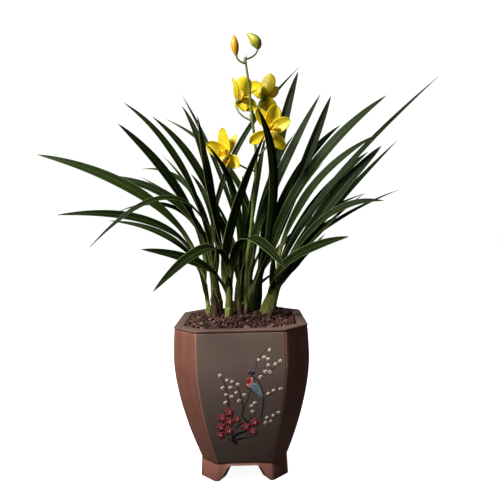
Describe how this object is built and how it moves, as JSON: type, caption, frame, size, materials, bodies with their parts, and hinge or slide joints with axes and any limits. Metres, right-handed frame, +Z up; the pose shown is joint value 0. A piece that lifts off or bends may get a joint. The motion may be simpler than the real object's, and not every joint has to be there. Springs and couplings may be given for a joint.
{
  "type": "potted orchid",
  "caption": "Potted orchid with long arching strap leaves and a spike of yellow flowers, in a tall square clay pot with cut corners and bracket feet, filled with coarse grit.",
  "frame": {"origin": "on the ground under the axis of the pot, which is also the bottom centre of the whole", "axes": "+Z up, -Y the front that the picture shows with the painted side of the pot, +X to the right of that view"},
  "size_m": [0.562, 0.36, 0.6054],
  "materials": {
    "clay": "matte",
    "grit": "matte",
    "leaf": "satin",
    "husk": "matte",
    "stem": "satin",
    "petal": "satin"
  },
  "bodies": {
    "root": {"pot": "clay", "grit": "grit", "shoot_1": "leaf", "shoot_2": "leaf", "shoot_3": "leaf", "shoot_4": "leaf", "shoot_5": "leaf", "shoot_6": "leaf", "shoot_7": "leaf", "dry_sheath_1": "husk", "dry_sheath_2": "husk", "dry_sheath_3": "husk", "dry_sheath_4": "husk", "flower_stem": "stem", "bloom_1": "petal", "bloom_2": "petal", "bloom_3": "petal", "bloom_4": "petal", "bud_1": "petal", "bud_2": "petal"}
  },
  "joints": []
}
